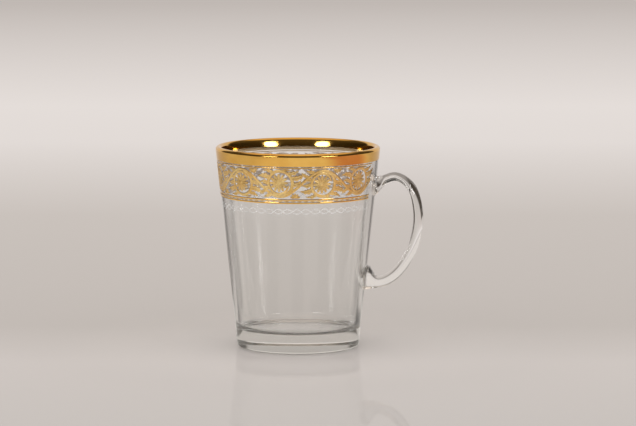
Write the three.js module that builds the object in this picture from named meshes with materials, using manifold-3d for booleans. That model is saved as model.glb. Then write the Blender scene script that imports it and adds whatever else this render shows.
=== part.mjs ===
// A clear glass tea mug: a tapered bowl on a thick heel, a loop handle on its side, a gilt rim,
// a gilt scroll frieze between fine gilt lines, and an etched border below it.
// Millimetres, +Z up. The origin is the centre of the base, on the surface that the mug stands on,
// and the handle points along +X.
import * as THREE from "three";
import { mergeVertices } from "three/addons/utils/BufferGeometryUtils.js";
import Module from "manifold-3d";

const wasm = await Module();
wasm.setup();

// Bowl
const HEIGHT = 98;
const RIM_RADIUS = 40; // outside, at the widest part of the lip
const RIM_WALL = 2.8; // thickness of the rounded lip
const HEEL_HEIGHT = 12; // of the solid foot, to where the wall starts
const HEEL_RADIUS = 30.8; // outside, at the top of the heel
const HEEL_WALL = 2.3; // wall thickness at the top of the heel
const HEEL_TAPER = 1; // how much narrower the heel is at the ground, in radius
const BASE_EDGE = 1.2; // radius of the rounded bottom edge
const FLOOR_THICKNESS = 9;
const FLOOR_CORNER = 3.5; // radius between the floor and the wall inside
const FACETS_AROUND = 56;
const ARC_STEPS = 6; // in each rounded corner of the section

// Handle, with reaches measured out from the wall to its centre line
const HANDLE_UPPER_DROP = 19; // from the rim down to the middle of the upper root
const HANDLE_LOWER_HEIGHT = 33.2; // from the ground up to the middle of the lower root
const HANDLE_REACH = 22.2; // at its furthest
const HANDLE_CROWN_RISE = 3.7; // of the centre line above the upper root
const HANDLE_CROWN_REACH = 9.5;
const HANDLE_LOWER_SAG = 2.1; // of the centre line below the lower root
const HANDLE_LOWER_REACH = 6.8;
// Bends: how far up and out the neck lies on its way to the crown, then how far down from the crown to
// the lower run each later bend lies, and what share of the reach it has
const HANDLE_NECK = { up: 0.6, out: 0.38 };
const HANDLE_BENDS = [
  { down: 0.094, out: 0.77 },
  { down: 0.35, out: 1 },
  { down: 0.662, out: 0.965 },
  { down: 0.915, out: 0.66 },
];
const HANDLE_UPPER_THICKNESS = 4.7; // of the strap where it leaves the upper root
const HANDLE_LOWER_THICKNESS = 5.5; // and where it comes to the lower root
const HANDLE_WIDTH = 8.4;
const UPPER_ROOT_HEIGHT = 10.4; // of the pad that meets the wall
const UPPER_ROOT_FLARE = 6; // how far out the pad swells the handle
const LOWER_ROOT_HEIGHT = 13.4;
const LOWER_ROOT_FLARE = 9;
const ROOT_WIDTH = 11;
const ROOT_SWELL = 2.4; // how sharply a pad swells: 1 is straight, more is hollower
const ROOT_SINK = 2; // how far the uncut handle runs into the wall
const ROOT_GAP = 0.3; // left between the handle and the wall
const HANDLE_SIDES = 12;
const HANDLE_STEPS = 40;
const HANDLE_SQUARENESS = 2.5; // of its section: 2 is an ellipse, more is boxier

// Gilding and etching, fired onto the glass as thin films
const FILM = 0.2; // thickness of a film
const FILM_GAP = 0.3; // left between a film and the glass
const RIM_BAND_OUTSIDE = 6; // how far the rim's gold comes down outside
const RIM_BAND_INSIDE = 4; // and inside
const HANDLE_CLEARANCE = THREE.MathUtils.degToRad(25); // bare glass on each side of the handle
const BAND_STEPS = 45; // in a line that runs round the wall

// The frieze, from the rim's gold downwards
const FINE_LINE = 0.5;
const FINE_LINE_MARGIN = 0.4; // bare glass above the fine line
const FIELD_HEIGHT = 14.1; // that the scrolls fill
const FIELD_MARGIN = 0.3; // bare glass above the scrolls
const CHAIN_LINE = 0.72; // each of the two lines that hold the beads
const CHAIN_DROP = 0.4; // bare glass between the scrolls and the chain
const CHAIN_BEAD = 0.6; // height of a bead
const CHAIN_MARGIN = 0.12; // bare glass between a line and the beads
const CHAIN_BEADS = 66;
const CHAIN_BEAD_STEPS = 2;
const CHAIN_WAIST = 0.3; // height of the link between two beads
const ETCHED_MARGIN = 2.4; // bare glass above the etched border
const ETCHED_HEIGHT = 2.8;
const ETCHED_WAIST = 0.7; // height where two eyes of the border meet
const ETCHED_EYES = 45;
const ETCHED_EYE_STEPS = 4;

// One scroll of the frieze
const SCROLLS = 10;
const SCROLL_CLEARANCE = 0.3; // between one scroll and the next
const STEM_WIDTH = 1.3;
const STEM_STEPS = 10;
const VOLUTE_EYE = 1; // radius where the volute ends
const VOLUTE_RISE = 0.5; // of its centre above the field's middle
const VOLUTE_START = THREE.MathUtils.degToRad(-75); // where it leaves the stem, below its centre
const VOLUTE_TURNS = 1.75;
const VOLUTE_STEPS = 24;
const VOLUTE_TIP_WIDTH = 0.8;
const BERRY_RADIUS = 1.5; // the round bud at the volute's end
const LEAF_SEGMENTS = 4; // in each edge of a leaf
const LEAF_WIDEST = 0.4; // of the way from its foot to its tip
// Leaves: where each grows, as a share of the volute or of the stem's half length, then where its tip
// points, as shares of the scroll's half length and of the field's half height, and how full it is
const VOLUTE_LEAVES = [
  { from: 0.27, tip: [-0.64, 0.9], fullness: 0.3 },
  { from: 0.38, tip: [-0.9, 0.48], fullness: 0.5 },
  { from: 0.1, tip: [0.88, 0.42], fullness: 0.5 },
  { from: 0.18, tip: [0.86, 0.9], fullness: 0.4 },
];
const STEM_LEAVES = [{ from: -0.55, tip: [-0.9, -0.9], fullness: 0.5 }];
const ROSETTE_RADIUS = 2.3;
const ROSETTE_LOBE = 0.3; // how deep its scallops are
const ROSETTE_LOBES = 5;
const ROSETTE_STEPS = 15;
const ROSETTE_SHIFT = 3.1; // from the line between two scrolls

const LIP_ROUND = RIM_WALL / 2;
const LIP_HEIGHT = HEIGHT - LIP_ROUND; // of the centre of the lip's round
const WALL_LEAN = Math.atan((RIM_RADIUS - HEEL_RADIUS) / (LIP_HEIGHT - HEEL_HEIGHT));

const materials = {
  glass: new THREE.MeshStandardMaterial({
    color: 0xdfe6e2, roughness: 0.03, metalness: 0, transparent: true, opacity: 0.35,
  }),
  brightGold: new THREE.MeshStandardMaterial({ color: 0xdba94f, roughness: 0.12, metalness: 1 }),
  satinGold: new THREE.MeshStandardMaterial({ color: 0xcfa762, roughness: 0.35, metalness: 1 }),
  etching: new THREE.MeshStandardMaterial({ color: 0xe9e7e2, roughness: 0.7, metalness: 0 }),
};

// Outside of the glass, as a radius by height
function outerRadius(z) {
  const { mapLinear } = THREE.MathUtils;
  return z < HEEL_HEIGHT
    ? mapLinear(z, 0, HEEL_HEIGHT, HEEL_RADIUS - HEEL_TAPER, HEEL_RADIUS)
    : mapLinear(z, HEEL_HEIGHT, LIP_HEIGHT, HEEL_RADIUS, RIM_RADIUS);
}

// Inside of the wall, as a radius by height
function innerRadius(z) {
  return THREE.MathUtils.mapLinear(
    z, HEEL_HEIGHT, LIP_HEIGHT, HEEL_RADIUS - HEEL_WALL, RIM_RADIUS - RIM_WALL,
  );
}

// Points of a circular arc in the section, both ends included
function arc(centreRadius, centreHeight, radius, from, to) {
  return Array.from({ length: ARC_STEPS + 1 }, (_, i) => {
    const angle = THREE.MathUtils.lerp(from, to, i / ARC_STEPS);
    return new THREE.Vector2(
      centreRadius + radius * Math.cos(angle),
      centreHeight + radius * Math.sin(angle),
    );
  });
}

// The lip's half round, from its outside over the top to its inside, swollen by an offset
function lip(offset) {
  return arc(RIM_RADIUS - LIP_ROUND, LIP_HEIGHT, LIP_ROUND + offset, 0, Math.PI);
}

// A section turned about the vertical axis
function turned(section) {
  return new THREE.LatheGeometry(section, FACETS_AROUND).rotateX(Math.PI / 2);
}

// A closed skin over equal rings of points, each running anticlockwise about the way they follow on
function loft(rings) {
  const sides = rings[0].length;
  const last = (rings.length - 1) * sides;
  const index = [];
  for (let ring = 0; ring < rings.length - 1; ring++) {
    for (let side = 0; side < sides; side++) {
      const a = ring * sides + side;
      const b = ring * sides + ((side + 1) % sides);
      index.push(a, b, b + sides, a, b + sides, a + sides);
    }
  }
  for (let side = 1; side < sides - 1; side++) {
    index.push(0, side + 1, side, last, last + side, last + side + 1);
  }
  return new THREE.BufferGeometry().setFromPoints(rings.flat()).setIndex(index);
}

// A geometry as a solid that can be joined and cut, and back again
function solidOf(geometry) {
  const bare = new THREE.BufferGeometry().setIndex(geometry.index);
  const merged = mergeVertices(bare.setAttribute("position", geometry.getAttribute("position")));
  return new wasm.Manifold(new wasm.Mesh({
    numProp: 3,
    vertProperties: new Float32Array(merged.getAttribute("position").array),
    triVerts: new Uint32Array(merged.index.array),
  }));
}

function geometryOf(solid) {
  const { vertProperties, triVerts } = solid.getMesh();
  return new THREE.BufferGeometry()
    .setAttribute("position", new THREE.BufferAttribute(vertProperties, 3))
    .setIndex(new THREE.BufferAttribute(triVerts, 1));
}

// Bowl: outside from the middle of the base up to the lip, then inside down to the middle of the floor
function bowl() {
  const cornerHeight = FLOOR_THICKNESS + FLOOR_CORNER;
  return turned([
    new THREE.Vector2(0, 0),
    ...arc(outerRadius(BASE_EDGE) - BASE_EDGE, BASE_EDGE, BASE_EDGE, -Math.PI / 2, 0),
    new THREE.Vector2(HEEL_RADIUS, HEEL_HEIGHT),
    ...lip(0),
    ...arc(innerRadius(cornerHeight) - FLOOR_CORNER, cornerHeight, FLOOR_CORNER, 0, -Math.PI / 2),
    new THREE.Vector2(0, FLOOR_THICKNESS),
  ]);
}

// The wall's outside swollen by the root gap, which the handle's ends are cut to
function handleCutter() {
  return solidOf(turned([
    new THREE.Vector2(0, HEEL_HEIGHT),
    new THREE.Vector2(outerRadius(HEEL_HEIGHT) + ROOT_GAP, HEEL_HEIGHT),
    new THREE.Vector2(outerRadius(HEIGHT) + ROOT_GAP, HEIGHT),
    new THREE.Vector2(0, HEIGHT),
  ]));
}

// Centre line of the handle in the XZ plane, from inside the wall at its upper root to its lower root
function handleLine() {
  const { lerp } = THREE.MathUtils;
  const at = (height, reach) => new THREE.Vector3(outerRadius(height) + reach, 0, height);
  const upperRoot = HEIGHT - HANDLE_UPPER_DROP;
  const crown = upperRoot + HANDLE_CROWN_RISE;
  const lowerRun = HANDLE_LOWER_HEIGHT - HANDLE_LOWER_SAG;
  return new THREE.CatmullRomCurve3([
    at(upperRoot - ROOT_SINK / 2, -ROOT_SINK),
    at(lerp(upperRoot, crown, HANDLE_NECK.up), HANDLE_CROWN_REACH * HANDLE_NECK.out),
    at(crown, HANDLE_CROWN_REACH),
    ...HANDLE_BENDS.map(({ down, out }) => at(lerp(crown, lowerRun, down), HANDLE_REACH * out)),
    at(lowerRun, HANDLE_LOWER_REACH),
    at(HANDLE_LOWER_HEIGHT, -ROOT_SINK),
  ], false, "centripetal");
}

// What share of a root's pad is left at a distance from the handle's end: 1 at the wall, 0 past the flare
function rooted(distance, flare) {
  return THREE.MathUtils.clamp(1 - (distance - ROOT_SINK) / flare, 0, 1) ** ROOT_SWELL;
}

// A size of the handle's section, given in its run and at its two roots, at a distance along it
function swollen({ run, upper, lower }, distance, length) {
  return run
    + (upper - run) * rooted(distance, UPPER_ROOT_FLARE)
    + (lower - run) * rooted(length - distance, LOWER_ROOT_FLARE);
}

// Handle: sections square to its centre line, turning upright towards the upper root
function handle() {
  const line = handleLine();
  const length = line.getLength();
  const across = new THREE.Vector3(0, 1, 0);
  const upwards = new THREE.Vector3(0, 0, 1);
  const rounded = (x) => Math.sign(x) * Math.abs(x) ** (2 / HANDLE_SQUARENESS);
  const pads = { upper: UPPER_ROOT_HEIGHT, lower: LOWER_ROOT_HEIGHT };
  const widths = { run: HANDLE_WIDTH, upper: ROOT_WIDTH, lower: ROOT_WIDTH };
  const rings = Array.from({ length: HANDLE_STEPS + 1 }, (_, step) => {
    const share = step / HANDLE_STEPS;
    const square = line.getTangentAt(share).cross(across);
    const outwards = square.lerp(upwards, rooted(share * length, UPPER_ROOT_FLARE)).normalize();
    const strap = THREE.MathUtils.lerp(HANDLE_UPPER_THICKNESS, HANDLE_LOWER_THICKNESS, share ** 2);
    const thickness = swollen({ run: strap, ...pads }, share * length, length);
    const width = swollen(widths, share * length, length);
    return Array.from({ length: HANDLE_SIDES }, (_, side) => {
      const turn = (2 * Math.PI * side) / HANDLE_SIDES;
      return line.getPointAt(share)
        .addScaledVector(outwards, (rounded(Math.cos(turn)) * thickness) / 2)
        .addScaledVector(across, (-rounded(Math.sin(turn)) * width) / 2);
    });
  });
  return geometryOf(solidOf(loft(rings)).subtract(handleCutter()));
}

// Gold over the lip, coming down a little way outside and inside
function rimGilding() {
  const skin = (offset) => [
    new THREE.Vector2(outerRadius(HEIGHT - RIM_BAND_OUTSIDE) + offset, HEIGHT - RIM_BAND_OUTSIDE),
    ...lip(offset),
    new THREE.Vector2(innerRadius(HEIGHT - RIM_BAND_INSIDE) - offset, HEIGHT - RIM_BAND_INSIDE),
  ];
  const section = [...skin(FILM_GAP + FILM), ...skin(FILM_GAP).reverse()];
  return turned([...section, section[0].clone()]);
}

// A point on the wall's outside, by the angle from the handle, the height and how far it stands off
function onWall(angle, height, standOff) {
  const radius = outerRadius(height) + standOff * Math.cos(WALL_LEAN);
  return new THREE.Vector3(
    radius * Math.cos(angle),
    radius * Math.sin(angle),
    height - standOff * Math.sin(WALL_LEAN),
  );
}

// A film that runs round the wall from one side of the handle to the other, its height set step by step
function bandAround(middle, heights) {
  const rings = heights.map((height, step) => {
    const share = step / (heights.length - 1);
    const angle = THREE.MathUtils.lerp(HANDLE_CLEARANCE, 2 * Math.PI - HANDLE_CLEARANCE, share);
    const low = middle - height / 2;
    const high = middle + height / 2;
    return [
      onWall(angle, high, FILM_GAP),
      onWall(angle, high, FILM_GAP + FILM),
      onWall(angle, low, FILM_GAP + FILM),
      onWall(angle, low, FILM_GAP),
    ];
  });
  return loft(rings);
}

const evenBand = (middle, height) => bandAround(middle, Array(BAND_STEPS + 1).fill(height));

// A row of rounded eyes joined at their waists
function eyeBand(middle, height, waist, eyes, stepsInEye) {
  const heights = Array.from({ length: eyes * stepsInEye + 1 }, (_, step) =>
    THREE.MathUtils.lerp(waist, height, Math.abs(Math.sin((Math.PI * step) / stepsInEye))));
  return bandAround(middle, heights);
}

// The frieze's heights on the wall, from the rim's gold downwards
const fineLineMiddle = HEIGHT - RIM_BAND_OUTSIDE - FINE_LINE_MARGIN - FINE_LINE / 2;
const fieldMiddle = fineLineMiddle - FINE_LINE / 2 - FIELD_MARGIN - FIELD_HEIGHT / 2;
const upperChainMiddle = fieldMiddle - FIELD_HEIGHT / 2 - CHAIN_DROP - CHAIN_LINE / 2;
const beadMiddle = upperChainMiddle - CHAIN_LINE / 2 - CHAIN_MARGIN - CHAIN_BEAD / 2;
const lowerChainMiddle = beadMiddle - CHAIN_BEAD / 2 - CHAIN_MARGIN - CHAIN_LINE / 2;
const etchedMiddle = lowerChainMiddle - CHAIN_LINE / 2 - ETCHED_MARGIN - ETCHED_HEIGHT / 2;

// One scroll's share of the wall, as an angle and as a length at the field's middle
const scrollAngle = (2 * Math.PI - 2 * HANDLE_CLEARANCE) / SCROLLS;
const fieldRadius = outerRadius(fieldMiddle);
const scrollLength = scrollAngle * fieldRadius;

// A flat outline as thick as the film
function filmOf(shape) {
  return solidOf(new THREE.ExtrudeGeometry(shape, {
    depth: FILM, bevelEnabled: false, curveSegments: LEAF_SEGMENTS,
  }));
}

// A ribbon along a line of flat points, as wide at each as the function says
function ribbon(points, widthAt) {
  const edge = (side) => points.map((point, i) => {
    const before = points[Math.max(0, i - 1)];
    const after = points[Math.min(points.length - 1, i + 1)];
    const tangent = after.clone().sub(before).normalize();
    const half = (side * widthAt(i / (points.length - 1))) / 2;
    return new THREE.Vector2(point.x - tangent.y * half, point.y + tangent.x * half);
  });
  return filmOf(new THREE.Shape([...edge(-1), ...edge(1).reverse()]));
}

// A pointed leaf from its foot to its tip, as wide as a share of its length
function leaf(foot, tip, fullness) {
  const along = tip.clone().sub(foot);
  const side = new THREE.Vector2(-along.y, along.x).multiplyScalar(fullness);
  const middle = foot.clone().addScaledVector(along, LEAF_WIDEST);
  const [left, right] = [middle.clone().add(side), middle.clone().sub(side)];
  const outline = new THREE.Shape().moveTo(foot.x, foot.y);
  outline.quadraticCurveTo(right.x, right.y, tip.x, tip.y);
  outline.quadraticCurveTo(left.x, left.y, foot.x, foot.y);
  return filmOf(outline);
}

// The stem's wave: lowest under the scroll's middle, and crossing the field's middle at its two ends
const stemSwing = (FIELD_HEIGHT - STEM_WIDTH) / 2;
const stemHeight = (x) => -stemSwing * Math.cos((Math.PI * x) / scrollLength);
const onStem = (x) => new THREE.Vector2(x, stemHeight(x));

// A point of the volute, which leaves the stem and winds in to its eye
const voluteRadius = (stemSwing + VOLUTE_RISE) / Math.sin(-VOLUTE_START);

function onVolute(share) {
  const angle = VOLUTE_START + share * VOLUTE_TURNS * 2 * Math.PI;
  const radius = THREE.MathUtils.lerp(voluteRadius, VOLUTE_EYE, share);
  return new THREE.Vector2(radius * Math.cos(angle), VOLUTE_RISE + radius * Math.sin(angle));
}

// One scroll laid flat, with its stem below the volute
function flatScroll() {
  const reach = (scrollLength - SCROLL_CLEARANCE) / 2;
  const steps = (count, place) => Array.from({ length: count + 1 }, (_, i) => place(i / count));
  const stem = steps(STEM_STEPS, (share) => onStem(THREE.MathUtils.lerp(-reach, reach, share)));
  const volute = steps(VOLUTE_STEPS, onVolute);
  const berry = new THREE.Shape().absarc(0, VOLUTE_RISE, BERRY_RADIUS, 0, 2 * Math.PI);
  const tipOf = ({ tip: [x, y] }) => new THREE.Vector2(x * reach, (y * FIELD_HEIGHT) / 2);
  const pieces = [
    ribbon(stem, () => STEM_WIDTH),
    ribbon(volute, (share) => THREE.MathUtils.lerp(STEM_WIDTH, VOLUTE_TIP_WIDTH, share)),
    filmOf(berry),
    ...VOLUTE_LEAVES.map((one) => leaf(onVolute(one.from), tipOf(one), one.fullness)),
    ...STEM_LEAVES.map((one) => leaf(onStem(one.from * reach), tipOf(one), one.fullness)),
  ];
  return pieces.reduce((whole, piece) => whole.add(piece));
}

// A half rosette laid flat, standing on the bottom of the field, under the stem where it rises
function flatRosette() {
  const outline = Array.from({ length: ROSETTE_STEPS + 1 }, (_, i) => {
    const angle = (Math.PI * i) / ROSETTE_STEPS;
    const scallop = ROSETTE_LOBE * (1 - Math.abs(Math.sin(ROSETTE_LOBES * angle)));
    const radius = ROSETTE_RADIUS - scallop;
    return new THREE.Vector2(radius * Math.cos(angle), radius * Math.sin(angle) - FIELD_HEIGHT / 2);
  });
  return filmOf(new THREE.Shape(outline));
}

// A flat film wrapped onto the wall about an angle, upside down where the stem runs along the top
function wrapped(flat, angle, upsideDown) {
  const geometry = geometryOf(flat);
  if (upsideDown) geometry.rotateX(Math.PI).translate(0, 0, FILM);
  const place = geometry.getAttribute("position");
  for (let i = 0; i < place.count; i++) {
    const height = fieldMiddle + place.getY(i);
    const point = onWall(angle + place.getX(i) / fieldRadius, height, FILM_GAP + place.getZ(i));
    place.setXYZ(i, point.x, point.y, point.z);
  }
  return geometry;
}

const mug = new THREE.Group();

function add(name, geometry, material) {
  geometry.computeVertexNormals();
  const mesh = new THREE.Mesh(geometry, material);
  mesh.name = name;
  mug.add(mesh);
}

const chainBeads = eyeBand(beadMiddle, CHAIN_BEAD, CHAIN_WAIST, CHAIN_BEADS, CHAIN_BEAD_STEPS);
const etchedBorder = eyeBand(etchedMiddle, ETCHED_HEIGHT, ETCHED_WAIST, ETCHED_EYES, ETCHED_EYE_STEPS);

add("glass_bowl", bowl(), materials.glass);
add("handle", handle(), materials.glass);
add("rim_gilding", rimGilding(), materials.brightGold);
add("fine_line", evenBand(fineLineMiddle, FINE_LINE), materials.brightGold);
add("chain_line_upper", evenBand(upperChainMiddle, CHAIN_LINE), materials.brightGold);
add("chain_beads", chainBeads, materials.satinGold);
add("chain_line_lower", evenBand(lowerChainMiddle, CHAIN_LINE), materials.brightGold);
add("etched_border", etchedBorder, materials.etching);

const [scroll, rosette] = [flatScroll(), flatRosette()];
for (let i = 0; i < SCROLLS; i++) {
  const number = String(i + 1).padStart(2, "0");
  const middle = HANDLE_CLEARANCE + (i + 0.5) * scrollAngle;
  const stemOnTop = i % 2 === 0;
  add(`scroll_${number}`, wrapped(scroll, middle, stemOnTop), materials.satinGold);
  if (i === SCROLLS - 1) continue;
  const between = middle + scrollAngle / 2 - ROSETTE_SHIFT / fieldRadius;
  add(`rosette_${number}`, wrapped(rosette, between, stemOnTop), materials.satinGold);
}

export default mug;
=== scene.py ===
"""Looks of a clear glass tea mug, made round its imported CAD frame.

The bowl and the handle are clear pressed glass. Bright gold covers the lip, a satin gold scroll frieze
runs below it between fine gold lines, and a faint etched border follows under those.
Sizes are in millimetres and angles in radians. A mesh turns to metres when it is made.
The handle points along +X, and the camera looks along +Y.
"""

from math import atan, ceil, copysign, cos, dist, hypot, inf, pi, radians, sin, sqrt, tan

import bpy
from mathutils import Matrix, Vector


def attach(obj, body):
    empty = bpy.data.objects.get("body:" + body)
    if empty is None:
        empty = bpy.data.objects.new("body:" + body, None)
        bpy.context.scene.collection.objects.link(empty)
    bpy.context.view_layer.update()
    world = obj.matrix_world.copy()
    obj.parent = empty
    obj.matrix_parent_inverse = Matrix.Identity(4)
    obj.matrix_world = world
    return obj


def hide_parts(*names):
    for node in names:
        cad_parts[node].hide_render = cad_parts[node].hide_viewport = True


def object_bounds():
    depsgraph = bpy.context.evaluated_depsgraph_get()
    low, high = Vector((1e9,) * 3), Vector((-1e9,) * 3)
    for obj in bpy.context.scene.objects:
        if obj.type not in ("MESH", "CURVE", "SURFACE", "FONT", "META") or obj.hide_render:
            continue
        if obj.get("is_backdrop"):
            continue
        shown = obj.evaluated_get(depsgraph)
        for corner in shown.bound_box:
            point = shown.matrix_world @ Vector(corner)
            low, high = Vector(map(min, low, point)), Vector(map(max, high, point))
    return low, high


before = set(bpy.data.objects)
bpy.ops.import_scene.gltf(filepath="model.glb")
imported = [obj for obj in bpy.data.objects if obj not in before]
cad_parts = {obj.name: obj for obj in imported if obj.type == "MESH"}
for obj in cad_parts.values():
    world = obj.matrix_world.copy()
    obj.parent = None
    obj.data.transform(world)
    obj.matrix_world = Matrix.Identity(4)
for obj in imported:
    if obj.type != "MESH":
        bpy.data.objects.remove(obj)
cad_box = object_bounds()

MM = 0.001
TURN = 2 * pi
BODY = "root"

# Bowl
HEIGHT = 98.0
RIM_RADIUS = 40.0
RIM_WALL = 2.8
HEEL_HEIGHT = 12.0
HEEL_RADIUS = 30.8
HEEL_WALL = 2.3
HEEL_TAPER = 1.0
BASE_EDGE = 1.2
FLOOR_THICKNESS = 9.0
FLOOR_CORNER = 3.5
BOWL_FACETS = 224
BOWL_STEP = 1.6
CORNER_STEPS = 14
FLARE_STEPS = 10
# A radius under this is a point on the axis
POLE = 1e-9
# Faint upright ripples that pressing leaves inside the wall: waves round, size and phase
WALL_RIPPLES = [(5, 0.03, 0.7), (11, 0.02, 2.1), (17, 0.014, 0.4), (29, 0.006, 1.3)]
RIPPLE_FADE = 14.0
RIPPLE_MARGIN = 2.0
# The inside of the wall leans out a little more towards the lip
FLARE_HEIGHT = 3.6
FLARE_LEAN = radians(10.4)

# Handle, with reaches measured out from the wall to its middle line
UPPER_DROP = 19.0
LOWER_HEIGHT = 33.2
REACH = 22.2
CROWN_RISE = 3.7
CROWN_REACH = 9.5
LOWER_SAG = 2.1
LOWER_REACH = 6.8
NECK_UP = 0.6
NECK_OUT = 0.38
# Bends: share of the way down from the crown to the lower run, and share of the reach
BENDS = [(0.094, 0.77), (0.35, 1.0), (0.662, 0.965), (0.915, 0.66)]
# The strap's thickness at its upper and its lower end
THICKNESS = (4.7, 5.5)
HANDLE_WIDTH = 8.4
UPPER_ROOT_HEIGHT = 10.4
UPPER_ROOT_FLARE = 6.0
LOWER_ROOT_HEIGHT = 13.4
LOWER_ROOT_FLARE = 9.0
ROOT_WIDTH = 11.0
ROOT_SWELL = 2.4
ROOT_SINK = 2.0
ROOT_GAP = 0.15
# The strap is gently rounded towards the bowl and rounder outside, for this share of its thickness
OUTSIDE_SHARE = 0.8
OUTSIDE_SQUARENESS = 2.0
INSIDE_SQUARENESS = 2.2
HANDLE_SIDES = 64
HANDLE_RINGS = 360
HANDLE_ROWS = 140
SPAN_SAMPLES = 80
ROOT_CAP_RINGS = 5

# Films on the glass: how far their faces, the edges of lines and their undersides stand off it
FILM = 0.1
LINE_EDGE = 0.04
FILM_LIFT = 0.02
# A section down a gold line, as shares of its height and distances off the glass
LINE_SECTION = [
    (0.5, FILM_LIFT), (0.5, LINE_EDGE), (0.25, FILM), (-0.25, FILM), (-0.5, LINE_EDGE), (-0.5, FILM_LIFT)
]
RIM_BAND_OUTSIDE = 6.0
RIM_BAND_INSIDE = 4.0
HANDLE_CLEARANCE = radians(25)
BAND_FACETS = 200
LIP_STEPS = 20
# What marks the underside of a film
UNDERSIDE = -1.0

# Frieze, from the rim's gold downwards
FINE_LINE = 0.5
FINE_LINE_MARGIN = 0.4
FIELD_HEIGHT = 14.1
FIELD_MARGIN = 0.3
CHAIN_LINE = 0.72
CHAIN_BEAD = 0.6
CHAIN_MARGIN = 0.12
CHAIN_DROP = 0.4
CHAIN_BEADS = 66
ETCHED_MARGIN = 2.4
ETCHED_HEIGHT = 2.8
ETCHED_EYES = 45
ETCHED_LINE = 0.5
ETCHED_FILM = 0.05
ETCHED_STEPS = 540
# Points of an etched line nearer than this are one
ETCHED_WELD = 0.001
SCROLLS = 10
ROSETTE_SHIFT = 3.1

LIP_ROUND = RIM_WALL / 2
LIP_HEIGHT = HEIGHT - LIP_ROUND
WALL_RISE = LIP_HEIGHT - HEEL_HEIGHT
WALL_SLOPE = (RIM_RADIUS - HEEL_RADIUS) / WALL_RISE
WALL_LEAN = atan(WALL_SLOPE)
HEEL_INSIDE = HEEL_RADIUS - HEEL_WALL
FLARE_SLOPE = tan(FLARE_LEAN)
FLARE_TOP = LIP_HEIGHT + LIP_ROUND * sin(FLARE_LEAN)
FLARE_TOP_RADIUS = RIM_RADIUS - LIP_ROUND - LIP_ROUND * cos(FLARE_LEAN)
FLARE_FOOT = FLARE_TOP - FLARE_HEIGHT
INNER_RISE = FLARE_FOOT - HEEL_HEIGHT + FLARE_HEIGHT / 2
INNER_SLOPE = (FLARE_TOP_RADIUS - FLARE_SLOPE * FLARE_HEIGHT / 2 - HEEL_INSIDE) / INNER_RISE
INNER_LEAN = atan(INNER_SLOPE)
FINE_LINE_MIDDLE = HEIGHT - RIM_BAND_OUTSIDE - FINE_LINE_MARGIN - FINE_LINE / 2
FIELD_MIDDLE = FINE_LINE_MIDDLE - FINE_LINE / 2 - FIELD_MARGIN - FIELD_HEIGHT / 2
UPPER_CHAIN_MIDDLE = FIELD_MIDDLE - FIELD_HEIGHT / 2 - CHAIN_DROP - CHAIN_LINE / 2
BEAD_MIDDLE = UPPER_CHAIN_MIDDLE - CHAIN_LINE / 2 - CHAIN_MARGIN - CHAIN_BEAD / 2
LOWER_CHAIN_MIDDLE = BEAD_MIDDLE - CHAIN_BEAD / 2 - CHAIN_MARGIN - CHAIN_LINE / 2
ETCHED_MIDDLE = LOWER_CHAIN_MIDDLE - CHAIN_LINE / 2 - ETCHED_MARGIN - ETCHED_HEIGHT / 2
FRIEZE_ANGLE = TURN - 2 * HANDLE_CLEARANCE
SCROLL_ANGLE = FRIEZE_ANGLE / SCROLLS


def lerp(start, end, share):
    return start + (end - start) * share


def shares(steps):
    """From 0 to 1 in even steps, both included."""
    return [step / steps for step in range(steps + 1)]


def turns(count):
    """Angles at even steps round a turn."""
    return [TURN * number / count for number in range(count)]


def outer_radius(height):
    if height < HEEL_HEIGHT:
        return HEEL_RADIUS - HEEL_TAPER * (1 - height / HEEL_HEIGHT)
    return HEEL_RADIUS + WALL_SLOPE * (height - HEEL_HEIGHT)


def inner_radius(height):
    flared = max(0.0, height - FLARE_FOOT)
    more = (FLARE_SLOPE - INNER_SLOPE) / (2 * FLARE_HEIGHT) * flared**2
    return HEEL_INSIDE + INNER_SLOPE * (height - HEEL_HEIGHT) + more


def flare(low, out):
    """The inside of the wall from under the lip down to a height, standing off it by out."""
    levels = [lerp(FLARE_TOP, low, share) for share in shares(FLARE_STEPS)[1:]]
    return [(inner_radius(level) - out, level) for level in levels]


FIELD_RADIUS = outer_radius(FIELD_MIDDLE)
SCROLL_LENGTH = SCROLL_ANGLE * FIELD_RADIUS


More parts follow.
